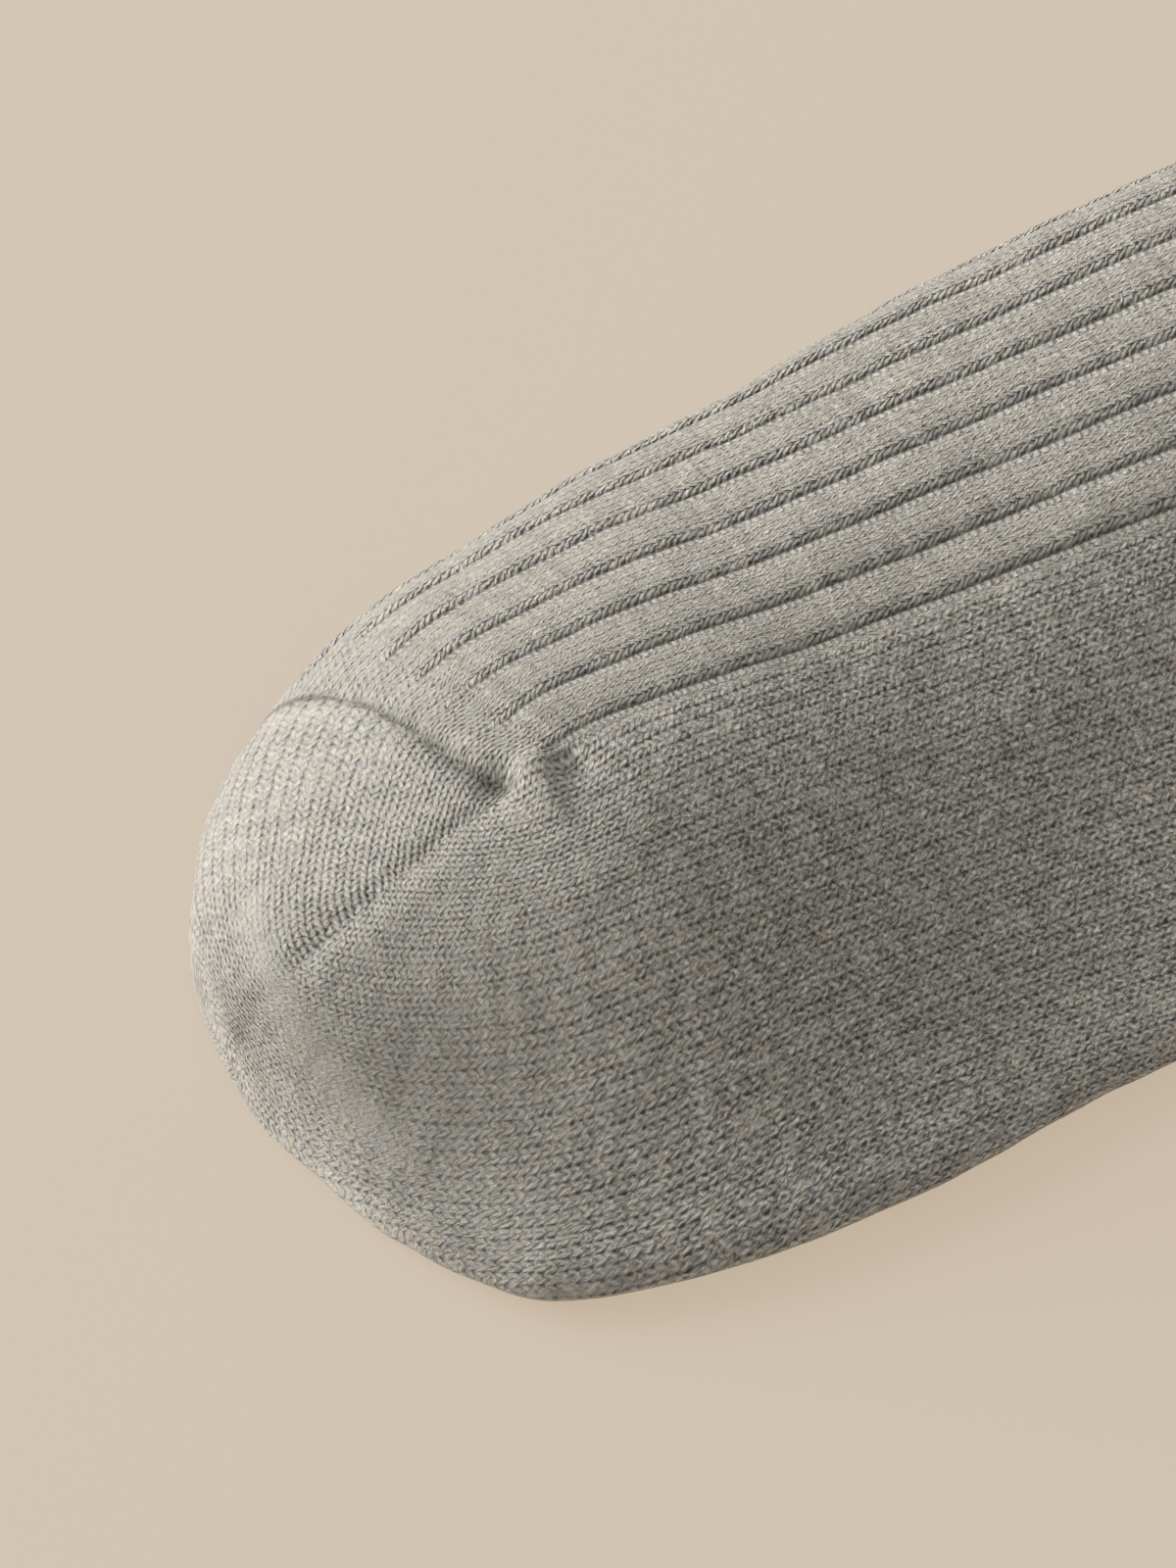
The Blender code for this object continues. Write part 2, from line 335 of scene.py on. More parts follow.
def fit_toe():
    """Polynomials for wale and course numbers on the sole side of the toe's gore and on its top side."""
    near = (COLS <= 80)[None, :] & (OVER[..., 0] < 62.0) & (PLACES[:, None] > 0.3)
    along, off = gore_place(PLANFORM)
    nose = near & (along < 0.5) & (np.abs(off) < 2.5)
    sole = near & (((off < 0.8) & (OVER[..., 0] < 28.8)) | ((OVER[..., 0] >= 28.8) & (COLS <= SIDE_WALES)[None, :]) | nose)
    top = near & (off > -0.8) & (SEAM_GAP < 1.5) & (OVER[..., 0] < 30.0) | nose
    sizes = terms(np.zeros(3)).shape[-1]
    rows_w, want_w, rows_c, want_c = [], [], [], []

    def ask(rows, want, values, block, weight, target):
        full = np.zeros((len(values), 2 * sizes))
        full[:, block * sizes:(block + 1) * sizes] = values
        rows.append(full * weight)
        want.append(np.broadcast_to(target, (len(values),)) * weight)

    for block, mask in enumerate((sole, top)):
        p, n = OVER[mask], OVER_NORMAL[mask]
        way = wale_way(p[:, :2], block)
        run = np.stack([np.cos(way), np.sin(way), np.zeros(len(way))], axis=-1)
        run[:, 2] = -(run[:, 0] * n[:, 0] + run[:, 1] * n[:, 1]) / np.maximum(n[:, 2], 0.12)
        run /= np.linalg.norm(run, axis=1, keepdims=True)
        out = np.cross(n, run)
        out /= np.linalg.norm(out, axis=1, keepdims=True)
        tight = 1 - smooth(from_gore(p[:, :2]), 2.0, 12.0)
        known = 1.0 if block else (1 - smooth(p[:, 0], 42.0, 51.0))
        wide = smooth(p[:, 1], -30.0, -14.0) * smooth(p[:, 0], 28.0, 36.0)
        width = WALE + (GORE_WALE - WALE) * tight + (SIDE_WALE - WALE) * (1 - tight) * wide * (1 - block)
        width = width * (1 + END_STRETCH * (1 - block) * (1 - smooth(n[:, 2], 0.25, 0.75)) * (1 - smooth(p[:, 0], 10.0, 24.0)))
        ask(rows_w, want_w, rises(p, run) * np.reshape(known, (-1, 1)), block, 1.8 - 0.8 * block, 0.0)
        ask(rows_w, want_w, rises(p, out) * np.reshape(known, (-1, 1)), block, 0.6, known / width)
        ask(rows_c, want_c, rises(p, run), block, 1.0, -1 / (COURSE + (GORE_COURSE - COURSE) * tight))
        ask(rows_c, want_c, rises(p, out), block, 0.5, 0.0)
        # At the gore the wales end, evenly spaced along it
        share = gore_place(p[:, :2])[0] / np.linalg.norm(GORE)
        at_gore = (np.abs(gore_place(p[:, :2])[1]) < 0.8) & (share > 0) & (share < 1)
        line_points = p[at_gore].copy()
        shift = gore_place(line_points[:, :2])[1]
        line_points[:, :2] -= shift[:, None] * np.array([-GORE_WAY[1], GORE_WAY[0]])
        share = share[at_gore] + 0.15 * share[at_gore] * (1 - share[at_gore])
        ask(rows_w, want_w, terms(line_points), block, 2.0, GORE_END_WALE + (SIDE_WALES - GORE_END_WALE) * share)
    # Into the tube of the foot
    row, col = np.nonzero(near & (OVER[..., 0] > 48.0) & (COLS <= SIDE_WALES)[None, :])
    ask(rows_w, want_w, terms(OVER[row, col]), 0, 1.9, sole_wale_at(COLS[col], OVER[row, col, 0]))
    ask(rows_c, want_c, terms(OVER[row, col]), 0, 0.8, SOLE_COURSES[row])
    row, col = np.nonzero(near & (OVER[..., 0] > 40.0) & (COLS == SIDE_WALES)[None, :])
    ask(rows_w, want_w, terms(OVER[row, col]), 0, 2.0, float(SIDE_WALES))
    # Both sides agree where the wales turn over the nose
    same = terms(OVER[nose])
    for rows, want in ((rows_w, want_w), (rows_c, want_c)):
        rows.append(np.concatenate([same, -same], axis=1) * 2.0)
        want.append(np.zeros(len(same)))
        rows.append(np.eye(2 * sizes) * 0.02)
        want.append(np.zeros(2 * sizes))
    fits = [np.linalg.lstsq(np.concatenate(rows), np.concatenate(want), rcond=None)[0] for rows, want in ((rows_w, want_w), (rows_c, want_c))]
    return [(fits[0][b * sizes:(b + 1) * sizes], fits[1][b * sizes:(b + 1) * sizes]) for b in (0, 1)]


SOLE_COURSES = course_run(18)
(SOLE_W, SOLE_C), (TOP_W, TOP_C) = fit_toe()

# ---------------------------------------------------------------- relief of the cloth
PROFILE_WALES, PROFILE_HEIGHTS, PROFILE_STITCHES = (np.array(list(column) + [end]) for column, end in
                                                    zip(zip(*RIB_PROFILE), (5.0, RIB_PROFILE[0][1], 5.0)))


def rib_relief(wales):
    """Height of the ribbed cloth at a wale number: the purled wale lies low, the knitted wales are rounded."""
    return np.interp(np.mod(wales, RIB_WALES), PROFILE_WALES, PROFILE_HEIGHTS)


def stitch_wale(wales):
    """The wale that the stitches belong to: the first knitted wale of a rib is spread over the rib's flank."""
    return wales - np.mod(wales, RIB_WALES) + np.interp(np.mod(wales, RIB_WALES), PROFILE_WALES, PROFILE_STITCHES)


def soft_noise(scale, shift, strength):
    flat = GRID.reshape(-1, 3) / scale
    values = [noise.noise(Vector((float(p[0]) + shift, float(p[1]) - shift, float(p[2]) * 0.5))) for p in flat]
    return strength * np.array(values).reshape(ROWS, COUNT)


PLACE = PLACES[:, None] * np.ones((1, COUNT))
WALES = COLS[None, :] * np.ones((ROWS, 1))
INSTEP_HALF = (WALES >= SIDE_WALES) & (WALES <= 120)

foot_rib = np.where(INSTEP_HALF, 0.45 * smooth(PAST_SEAM + 0.9 * np.sin(WALES * 1.7), 3.0, 6.5)
                    + 0.55 * smooth(PAST_SEAM + 0.9 * np.sin(WALES * 1.7), 4.0, 12.0), 0.0)
leg_rib = smooth(PLACE, ANKLE - 0.15, ANKLE + 0.15)
RIB_SHARE = np.maximum(foot_rib, leg_rib) * (1 - smooth(PLACE, WELT - 0.06, WELT + 0.02))
relief = RIB_SHARE * rib_relief(WALES)

# The toe seam: the instep's edge rolls over it, most where it ends at the side line
PX, PY = PLANFORM[..., 0], PLANFORM[..., 1]
near_toe = PLACE < NAMES.index("ball")
seam_zone = near_toe & INSTEP_HALF
d = SEAM_GAP
to_end = np.hypot(PX - GORE_TOP[0], PY - GORE_TOP[1])
SEAM_SHARE = np.where(seam_zone, (1 - 0.55 * smooth(to_end, 4.0, 14.0)) * (1 - smooth(to_end, 18.0, 25.0)), 0.0)
seam_shape = -1.05 * bump(d, -0.2, 0.75) + 0.80 * bump(d, 1.9, 1.5) + 0.20 * bump(d, -2.4, 1.2)
relief += SEAM_SHARE * seam_shape * smooth(to_end, 0.0, 2.5)

# The seam's end at the side line stands up in a small ear with a dimple on each side
relief += np.where(near_toe, 1.5 * np.exp(-(((PX - 31.3) / 1.7) ** 2 + ((PY + 11.0) / 2.8) ** 2)), 0.0)
relief += np.where(near_toe, -1.5 * np.exp(-(((PX - 28.2) / 1.5) ** 2 + ((PY + 8.6) / 1.4) ** 2)), 0.0)
relief += np.where(near_toe, -1.5 * np.exp(-(((PX - 33.9) / 1.3) ** 2 + ((PY + 10.6) / 1.5) ** 2)), 0.0)

# A shallow crease along the gore
along, off = gore_place(PLANFORM)
gore_share = smooth(along, -1.0, 3.0) * (1 - smooth(along, 19.0, 23.5))
relief += np.where(near_toe, gore_share * (-0.35 * bump(off, 0.0, 0.9) + 0.22 * bump(off, -2.2, 1.6)), 0.0)

# The heel pocket's gore lines and the step of the welt
gore_heel = np.abs(PLACE - (HEEL_START + (ANKLE - HEEL_START) * 0.5)) / ((ANKLE - HEEL_START) * 0.5)
sole_wale = np.where(WALES <= 80, WALES, 160 - WALES)
heel_line = sole_wale - (16 + 24 * gore_heel)
in_heel = (PLACE > HEEL_START) & (PLACE < ANKLE)
relief += np.where(in_heel, -0.28 * bump(heel_line, 0.0, 0.8) + 0.16 * bump(heel_line, 1.9, 1.2), 0.0)
relief += 0.45 * smooth(PLACE, WELT - 0.01, WELT + 0.05) - 0.35 * bump(PLACE, WELT - 0.03, 0.03)

relief += soft_noise(9.0, 3.1, 0.30) + soft_noise(3.4, 7.7, 0.12)
on_floor = (~UPPER)[None, :] & (Z < 0.6)
relief = np.where(on_floor, np.minimum(relief, 0.0) * 0.6 - 0.1, relief)
relief *= smooth(PLACE, 0.0, 0.5)

SHAPE = GRID + NORMAL * relief[..., None]
SHAPE[..., 2] = np.maximum(SHAPE[..., 2], 0.02)
FINE_NORMAL = grid_normals(SHAPE)

# ---------------------------------------------------------------- mesh
TIP_ROWS = 3                # rows at the tip with a quarter of the columns
vertices = []


def add_ring(points):
    start = sum(len(v) for v in vertices)
    vertices.append(np.asarray(points))
    return start + np.arange(len(points))


coarse = np.arange(0, COUNT, 4)
rings, ring_cols = [], []
for r in range(ROWS):
    pick = coarse if r < TIP_ROWS else np.arange(COUNT)
    rings.append(add_ring(SHAPE[r, pick]))
    ring_cols.append(pick)

corner_row, corner_col, flat_faces = [], [], []


def add_face(ids, rows, cols):
    flat_faces.append(ids)
    corner_row.append(rows)
    corner_col.append(cols)


def join_rings(a, b, cols_a, cols_b, row_a, row_b, flip=False):
    """Faces between two rings, with a fan where one has four times the points of the other."""
    n_a, n_b = len(a), len(b)
    if n_a == n_b:
        for i in range(n_a):
            j = (i + 1) % n_a
            c0, c1 = cols_a[i], cols_a[j] if j else COUNT
            face = ((a[i], row_a, c0), (b[i], row_b, c0), (b[j], row_b, c1), (a[j], row_a, c1))
            yield face[::-1] if flip else face
        return
    few, many, row_f, row_m, cols_f = (a, b, row_a, row_b, cols_a) if n_a < n_b else (b, a, row_b, row_a, cols_b)
    turn = flip != (n_a > n_b)
    ratio = len(many) // len(few)
    for i in range(len(few)):
        j = (i + 1) % len(few)
        base = i * ratio
        c = [base + k for k in range(ratio + 1)]
        idx = [many[k % len(many)] for k in c]
        f0, f1 = (few[i], row_f, base), (few[j], row_f, base + ratio)
        half = ratio // 2
        tri = []
        for k in range(ratio):
            tip = f0 if k < half else f1
            tri.append((tip, (idx[k], row_m, c[k]), (idx[k + 1], row_m, c[k + 1])))
            if k == half - 1:
                tri.append((f0, (idx[half], row_m, c[half]), f1))
        for t in tri:
            yield t[::-1] if turn else t


def add_faces(found):
    for face in found:
        add_face([f[0] for f in face], [f[1] for f in face], [f[2] for f in face])


for r in range(ROWS - 1):
    add_faces(join_rings(rings[r], rings[r + 1], ring_cols[r], ring_cols[r + 1], r, r + 1))
tip_point = add_ring([SHAPE[0].mean(axis=0) - np.array([0.15, 0, 0])])[0]
for i in range(len(coarse)):
    j = (i + 1) % len(coarse)
    c0, c1 = coarse[i], coarse[j] if j else COUNT
    add_face([tip_point, rings[0][i], rings[0][j]], [0, 0, 0], [c0, c0, c1])

# The rolled rim of the welt and the inside of the tube
rim_way = GRID[-1] - GRID[-2]
rim_way /= np.linalg.norm(rim_way, axis=1, keepdims=True)
last = rings[-1]
wall_here = WELT_WALL + 0.4
for turn_by in (0.25, 0.5, 0.75):
    a = math.pi * turn_by
    points = SHAPE[-1] - NORMAL[-1] * (0.5 * wall_here * (1 - math.cos(a))) + rim_way * (0.42 * wall_here * math.sin(a))
    points[:, 2] = np.maximum(points[:, 2], 0.02)
    new = add_ring(points)
    add_faces(join_rings(last, new, np.arange(COUNT), np.arange(COUNT), ROWS - 1, ROWS - 1))
    last = new
inner_rows = [r for r in range(ROWS - 1, 0, -4) if PLACES[r] > 0.85]
last_cols, last_row = np.arange(COUNT), ROWS - 1
for r in inner_rows:
    wall = WELT_WALL if PLACES[r] > WELT else WALL
    points = GRID[r, coarse] - NORMAL[r, coarse] * wall
    new = add_ring(points)
    add_faces(join_rings(last, new, last_cols, coarse, last_row, r))
    last, last_cols, last_row = new, coarse, r
end_point = add_ring([GRID[last_row, coarse].mean(axis=0)])[0]
for i in range(len(coarse)):
    j = (i + 1) % len(coarse)
    c0, c1 = coarse[i], coarse[j] if j else COUNT
    add_face([last[i], end_point, last[j]], [last_row] * 3, [c0, c0, c1])

POINTS = (np.concatenate(vertices) - np.array([CENTRE[0], CENTRE[1], 0.0])) * MM

# ---------------------------------------------------------------- knit charts at the corners of each face
lens = np.array([len(f) for f in flat_faces])
rows_c = np.concatenate([np.asarray(r) for r in corner_row])
cols_c = np.concatenate([np.asarray(c) for c in corner_col])
face_of = np.repeat(np.arange(len(lens)), lens)
wales_c = np.append(COLS, 160.0)[cols_c]
col_in = cols_c % COUNT


def face_mean(values):
    return np.bincount(face_of, weights=values) / lens


over_c = OVER[rows_c, col_in]
plan_c = over_c[:, :2]
wale_mean = face_mean(wales_c)
place_c = PLACES[rows_c]
place_mean = face_mean(place_c)
plan_mean = np.stack([face_mean(plan_c[:, 0]), face_mean(plan_c[:, 1])], axis=-1)
under = (wale_mean > 80)[face_of]
over_wale = np.where(wales_c > 80, 160 - wales_c, wales_c)
on_leg = (place_mean > ANKLE)[face_of]
half_instep = (wale_mean >= SIDE_WALES) & (wale_mean <= 120)
on_instep = (half_instep & ((seam_distance(plan_mean[:, 0], plan_mean[:, 1]) > -3.0) | (place_mean > NAMES.index("rib_start"))))[face_of]

leg_courses = course_run(40)
ankle_row = int(np.argmin(np.abs(PLACES - ANKLE)))
leg_courses = leg_courses - leg_courses[ankle_row] + course_run(60)[ankle_row]
toe_blend = smooth(over_c[:, 0], *TUBE_FROM)
at = terms(over_c)


def turned_under(values, fold_column, chart):
    """Counts on through the fold, so that the underside carries on from the upper side."""
    folds = chart(OVER[:, fold_column], np.full(ROWS, COLS[fold_column]))
    return np.where(under, 2 * folds[rows_c] - values, values)


def sole_chart(p, columns):
    blend = smooth(p[:, 0], *TUBE_FROM)
    return (terms(p) @ SOLE_W) * (1 - blend) + sole_wale_at(columns, p[:, 0]) * blend


sole_w = turned_under(sole_chart(over_c, over_wale), 0, sole_chart)
sole_c = np.where(toe_blend >= 1, 0.0, at @ SOLE_C) * (1 - toe_blend) + SOLE_COURSES[rows_c] * toe_blend
ribbed_wale = stitch_wale(np.where(wale_mean[face_of] > 120, wales_c - 160, wales_c))
rib_share_c = RIB_SHARE[rows_c, col_in]
knit_w = np.where(on_leg | on_instep, ribbed_wale, sole_w)
knit_c = np.where(on_leg, leg_courses[rows_c], np.where(on_instep, course_run(60)[rows_c], sole_c))
in_toe = over_c[:, 0] < 36.0
toe_w = np.where(in_toe, turned_under(at @ TOP_W, int(np.argmin(np.abs(COLS - 80))), lambda p, columns: terms(p) @ TOP_W), 0.0)
toe_c = np.where(in_toe, at @ TOP_C, 0.0)
seam_c = seam_distance(plan_c[:, 0], plan_c[:, 1])
split_c = np.where(in_toe, np.clip(np.minimum(gore_place(plan_c)[1], -seam_c), -5.0, 5.0), -5.0)
line_c = np.where(in_toe & (wales_c > 36) & (wales_c < 124) & (plan_c[:, 1] > -10.2), np.clip(seam_c, -8.0, 8.0), 8.0)
welt_c = smooth(place_c, WELT - 0.02, WELT + 0.02)


def nap_and_sheen_share(p):
    """1 along the line where the toe turns over to its end, fading out beside it and towards its ends."""
    line = np.array(NAP_AND_SHEEN)
    best, where = np.full(len(p), 1e9), np.zeros(len(p))
    for k in range(len(line) - 1):
        a, b = line[k], line[k + 1]
        f = np.clip(((p - a) @ (b - a)) / ((b - a) @ (b - a)), 0.0, 1.0)
        gap = np.linalg.norm(p - a - f[:, None] * (b - a), axis=1)
        where = np.where(gap < best, (k + f) / (len(line) - 1), where)
        best = np.minimum(best, gap)
    return bump(best, 0.0, 1.5) * smooth(where, 0.0, 0.3) * (1 - smooth(where, 0.8, 1.0))


nap_and_sheen_c = np.where(over_c[:, 0] < 20.0, nap_and_sheen_share(plan_c), 0.0)
gore_c = np.where(over_c[:, 0] < 54.0, 1 - smooth(from_gore(plan_c), 3.0, 16.0), 0.0)
# How crisp the stitches are, growing away from the toe: towards the shaded sole it strengthens the fleck contrast and
# the painted shade in the gaps
crisp_c = smooth(plan_c[:, 0] - 0.5 * (plan_c[:, 1] + 20), 14.0, 52.0)

mesh = bpy.data.meshes.new("sock_knit")
mesh.vertices.add(len(POINTS))
mesh.vertices.foreach_set("co", POINTS.astype(np.float32).ravel())
loops = np.concatenate([np.asarray(f) for f in flat_faces]).astype(np.int32)
mesh.loops.add(len(loops))
mesh.loops.foreach_set("vertex_index", loops)
mesh.polygons.add(len(lens))
mesh.polygons.foreach_set("loop_start", np.concatenate([[0], np.cumsum(lens)[:-1]]).astype(np.int32))
mesh.polygons.foreach_set("loop_total", lens.astype(np.int32))
mesh.polygons.foreach_set("use_smooth", np.ones(len(lens), dtype=bool))
mesh.update(calc_edges=True)
knit_map = mesh.uv_layers.new(name="knit")
knit_map.data.foreach_set("uv", np.stack([knit_c, knit_w], axis=-1).astype(np.float32).ravel())
zone_map = mesh.uv_layers.new(name="zone")
zone_map.data.foreach_set("uv", np.stack([rib_share_c, welt_c], axis=-1).astype(np.float32).ravel())
for map_name, pair in (("toe", (toe_c, toe_w)), ("lines", (split_c, line_c)), ("nap_and_sheen", (nap_and_sheen_c, gore_c)), ("hand", (crisp_c, welt_c))):
    layer = mesh.uv_layers.new(name=map_name)
    layer.data.foreach_set("uv", np.stack(pair, axis=-1).astype(np.float32).ravel())
mesh.validate()
sock = bpy.data.objects.new("sock", mesh)
bpy.context.scene.collection.objects.link(sock)


# ---------------------------------------------------------------- cloth material
LEG_SLOPE, RIB_SLOPE = 1.5, 2.9     # courses that the legs of a stitch drop across a whole wale, plain and ribbed


class Nodes:
    """Short hand for math nodes."""

    def __init__(self, material):
        self.tree = material.node_tree
        self.shader = self.tree.nodes["Principled BSDF"]

    def new(self, kind, **settings):
        node = self.tree.nodes.new(kind)
        for key, value in settings.items():
            setattr(node, key, value)
        return node

    def put(self, socket, value):
        if isinstance(value, bpy.types.NodeSocket):
            self.tree.links.new(value, socket)
        else:
            socket.default_value = value

    def math(self, operation, *values, clamp=False):
        node = self.new("ShaderNodeMath", operation=operation, use_clamp=clamp)
        for socket, value in zip(node.inputs, values):
            self.put(socket, value)
        return node.outputs[0]

    def mul(self, a, b):
        return self.math("MULTIPLY", a, b)

    def add(self, a, b):
        return self.math("ADD", a, b)

    def sub(self, a, b):
        return self.math("SUBTRACT", a, b)

    def ramp(self, value, low, high, to_low=0.0, to_high=1.0, kind="SMOOTHSTEP"):
        node = self.new("ShaderNodeMapRange", interpolation_type=kind)
        for socket, v in zip(node.inputs, (value, low, high, to_low, to_high)):
            self.put(socket, v)
        return node.outputs[0]

    def mix(self, share, a, b):
        return self.add(self.mul(self.sub(1.0, share), a), self.mul(share, b))

    def vector(self, x, y, z=0.0):
        node = self.new("ShaderNodeCombineXYZ")
        for socket, v in zip(node.inputs, (x, y, z)):
            self.put(socket, v)
        return node.outputs[0]

    def noise(self, vector, scale, detail=2.0, rough=0.5):
        node = self.new("ShaderNodeTexNoise", noise_dimensions="3D")
        self.put(node.inputs["Vector"], vector)
        node.inputs["Scale"].default_value = scale
        node.inputs["Detail"].default_value = detail
        node.inputs["Roughness"].default_value = rough
        return node.outputs["Fac"] if "Fac" in node.outputs else node.outputs[0]

    def white(self, vector):
        node = self.new("ShaderNodeTexWhiteNoise", noise_dimensions="3D")
        self.put(node.inputs["Vector"], vector)
        return node.outputs["Value"]

    def hump(self, value, middle, width):
        """A soft hump of height 1 around the middle."""
        x = self.math("DIVIDE", self.sub(value, middle), width)
        return self.math("POWER", 2.718, self.mul(-1.0, self.mul(x, x)))


def knit_material(name, albedo):
    material = bpy.data.materials.new(name)
    material.use_nodes = True
    n = Nodes(material)

    def pair(map_name):
        source, split = n.new("ShaderNodeUVMap", uv_map=map_name), n.new("ShaderNodeSeparateXYZ")
        n.put(split.inputs[0], source.outputs[0])
        return split.outputs[0], split.outputs[1]

    (main_c, main_w), (toe_c, toe_w) = pair("knit"), pair("toe")
    (rib, _), (split, seam), (nap_and_sheen, gore), (crisp, _) = pair("zone"), pair("lines"), pair("nap_and_sheen"), pair("hand")
    on_top = n.math("GREATER_THAN", split, 0.0)
    course, wale = n.mix(on_top, main_c, toe_c), n.mix(on_top, main_w, toe_w)
    ribbed = n.mul(n.ramp(rib, 0.15, 0.55), n.sub(1.0, on_top))

    def grain(vector, detail=2.0, rough=0.7):
        """Noise stretched to run from about -1 to 1."""
        return n.mul(n.sub(n.noise(vector, 1.0, detail, rough), 0.5), 3.6)

    # Hand of the knit: wales and courses wander a little, and each stitch sits a little differently
    def wander(x, y, shift, scale, strength, detail=2.0):
        return n.mul(n.sub(n.noise(n.vector(x, y, shift), scale, detail), 0.5), strength)

    w = n.add(wale, n.add(wander(course, wale, 0.0, 0.45, 0.42), wander(course, wale, 4.0, 1.7, 0.30)))
    c = n.add(course, n.add(wander(course, wale, 9.0, 0.6, 0.8), wander(course, wale, 14.0, 2.1, 0.55)))

    share = n.math("FRACT", w)
    out = n.math("ABSOLUTE", n.sub(share, 0.5))
    side = n.math("GREATER_THAN", share, 0.5)
    phase = n.sub(c, n.mul(out, n.add(LEG_SLOPE, n.mul(ribbed, RIB_SLOPE - LEG_SLOPE))))
    along = n.math("FRACT", phase)
    cell = n.vector(n.math("FLOOR", w), n.math("FLOOR", phase), side)
    shade, size = n.white(cell), n.white(n.vector(n.math("FLOOR", phase), side, n.math("FLOOR", w)))
    open_gap = n.mul(n.add(1.0, n.math("COSINE", n.mul(along, 2 * math.pi))), 0.5)
    gap = n.math("POWER", open_gap, n.add(1.2, n.mul(size, 2.2)))

    # In a rib: the purled wale shows short teeth, the flank beside it clear slanted legs, the top is soft
    rib_wale = n.mul(n.math("FRACT", n.math("DIVIDE", n.add(wale, n.mul(n.sub(w, wale), 0.5)), float(RIB_WALES))), float(RIB_WALES))
    purled = n.mul(n.mul(n.ramp(rib_wale, 0.0, 0.12), n.sub(1.0, n.ramp(rib_wale, 0.92, 1.04))), ribbed)
    flank = n.mul(n.mul(n.ramp(rib_wale, 0.95, 1.06), n.sub(1.0, n.ramp(rib_wale, 1.50, 1.75))), ribbed)
    crown = n.mul(n.sub(1.0, n.math("MAXIMUM", purled, flank)), ribbed)
    teeth = n.mul(n.sub(1.0, n.math("COSINE", n.mul(n.add(c, 0.25), 2 * math.pi))), 0.5)

    # Fibres lie across the legs at a slant; wool haze covers the stitches here and there
    fibre = grain(n.vector(n.add(n.mul(c, -1.40), n.mul(w, 1.0)), n.add(n.mul(c, 1.46), n.mul(w, 3.70)), 31.0), 2.0, 0.70)
    clump = grain(n.vector(n.mul(c, 1.2), n.mul(w, 1.6), 77.0), 2.0)
    streak = grain(n.vector(n.mul(c, 1.0), n.mul(w, 3.6), 57.0), 1.0)
    haze = n.ramp(grain(n.vector(n.mul(c, 0.42), n.mul(w, 0.50), 12.0), 2.0), -0.7, 0.7, 0.55, 1.25)
    row_tone = n.noise(n.vector(n.mul(c, 0.60), n.mul(w, 0.09), 3.0), 1.0, 3.0, 0.6)
    patch = n.noise(n.vector(n.mul(c, 0.05), n.mul(w, 0.05), 5.0), 1.0, 2.0, 0.5)

    soft = n.math("MAXIMUM", n.mul(crown, 0.42), n.mul(nap_and_sheen, 0.80))
    clear = n.mul(n.sub(1.0, soft), haze)
    beside = n.mul(n.hump(split, 0.9, 0.9), gore)
    # Painted shade: the pits darken the colour in the gaps between wales, at the wales' middles, between the legs and
    # between the purl teeth, deepest away from the toe and beside the gore; the same pits also lower the bump's height
    boundary = n.mul(n.hump(out, 0.5, 0.13), n.add(0.62, n.mul(gap, 0.38)))
    centre = n.mul(n.hump(out, 0.0, 0.11), n.add(0.50, n.mul(gap, 0.50)))
    centre_depth = n.add(n.add(n.add(0.14, n.mul(crisp, 0.16)), n.mul(gore, 0.44)), n.mul(flank, 0.45))
    pit_depth_and_shade = n.mul(boundary, n.add(n.ramp(crisp, 0.0, 0.6, 0.46, 0.78), n.mul(beside, 0.32)))
    pit_depth_and_shade = n.add(pit_depth_and_shade, n.mul(centre, n.add(centre_depth, n.mul(beside, 0.2))))
    pit_depth_and_shade = n.add(pit_depth_and_shade, n.mul(gap, n.add(n.add(0.20, n.mul(crisp, 0.16)), n.mul(flank, 0.30))))
    pit_depth_and_shade = n.mix(purled, pit_depth_and_shade, n.mul(n.math("POWER", n.sub(1.0, teeth), 1.6), 0.55))
    pit_depth_and_shade = n.mul(pit_depth_and_shade, clear)

    spread = n.mul(n.sub(shade, 0.5), 0.22)
    spread = n.add(spread, n.mul(fibre, 0.62))
    spread = n.add(spread, n.mul(clump, 0.10))
    spread = n.add(spread, n.mul(n.mul(streak, crown), 0.35))
    # Painted light: fleck contrast up to 1.8 times towards the shaded sole, standing in for stitch shading that the
    # lamp gives less there
    spread = n.mul(spread, n.ramp(crisp, 0.0, 1.0, 0.62, n.mix(ribbed, 1.8, 1.0), "LINEAR"))
    tone = n.add(1.0, n.mul(spread, n.sub(1.0, n.mul(nap_and_sheen, 0.45))))
    tone = n.add(tone, n.mul(n.sub(row_tone, 0.5), 0.55))
    tone = n.add(tone, n.mul(n.sub(patch, 0.5), 0.20))
    # Painted light: the rib flanks' colour is lightened to offset the shade they turn into, and the pits take painted
    # shade off it
    tone = n.mul(tone, n.sub(n.sub(n.add(n.add(1.12, n.mul(crisp, 0.08)), n.mul(flank, 0.16)), n.mul(soft, 0.16)), pit_depth_and_shade))
    # Painted shade along the groove at the first knitted wale of each rib, with a ragged edge
    jagged = n.mul(n.add(0.52, n.mul(n.sub(1.0, teeth), 0.34)), n.ramp(fibre, -0.5, 0.6, 1.15, 0.55))
    groove_shade = n.mul(n.hump(rib_wale, 0.95, 0.15), ribbed)
    tone = n.mul(tone, n.sub(1.0, n.mul(groove_shade, jagged)))
